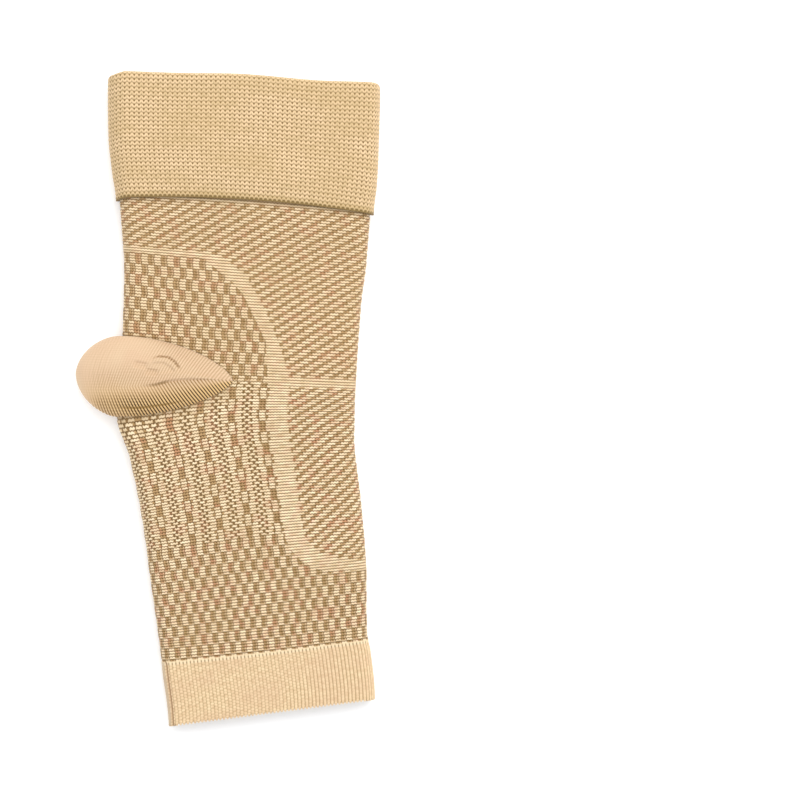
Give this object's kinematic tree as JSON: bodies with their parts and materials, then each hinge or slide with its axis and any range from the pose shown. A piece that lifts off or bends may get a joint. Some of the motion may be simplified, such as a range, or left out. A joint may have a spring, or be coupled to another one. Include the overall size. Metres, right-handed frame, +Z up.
{
  "type": "ankle brace",
  "caption": "Knitted pull-on ankle brace with a doubled cuff, a heel pocket and an open toe end, lying flat on its side.",
  "frame": {"origin": "middle of the outline, on the surface that the brace lies on", "axes": "+Y towards the cuff, +X towards the shin and instep side, +Z up from the surface"},
  "size_m": [0.1072, 0.2306, 0.0166],
  "materials": {
    "cuff_knit": "plain elastic knit, matt",
    "body_knit": "two-tone figured elastic knit, matt",
    "heel_knit": "plain soft knit, matt",
    "band_knit": "fine plain knit, matt"
  },
  "bodies": {
    "root": {"leg_cuff": "cuff_knit", "leg_sleeve": "body_knit", "foot_sleeve": "body_knit", "heel_pocket": "heel_knit", "foot_band": "band_knit"}
  },
  "joints": []
}
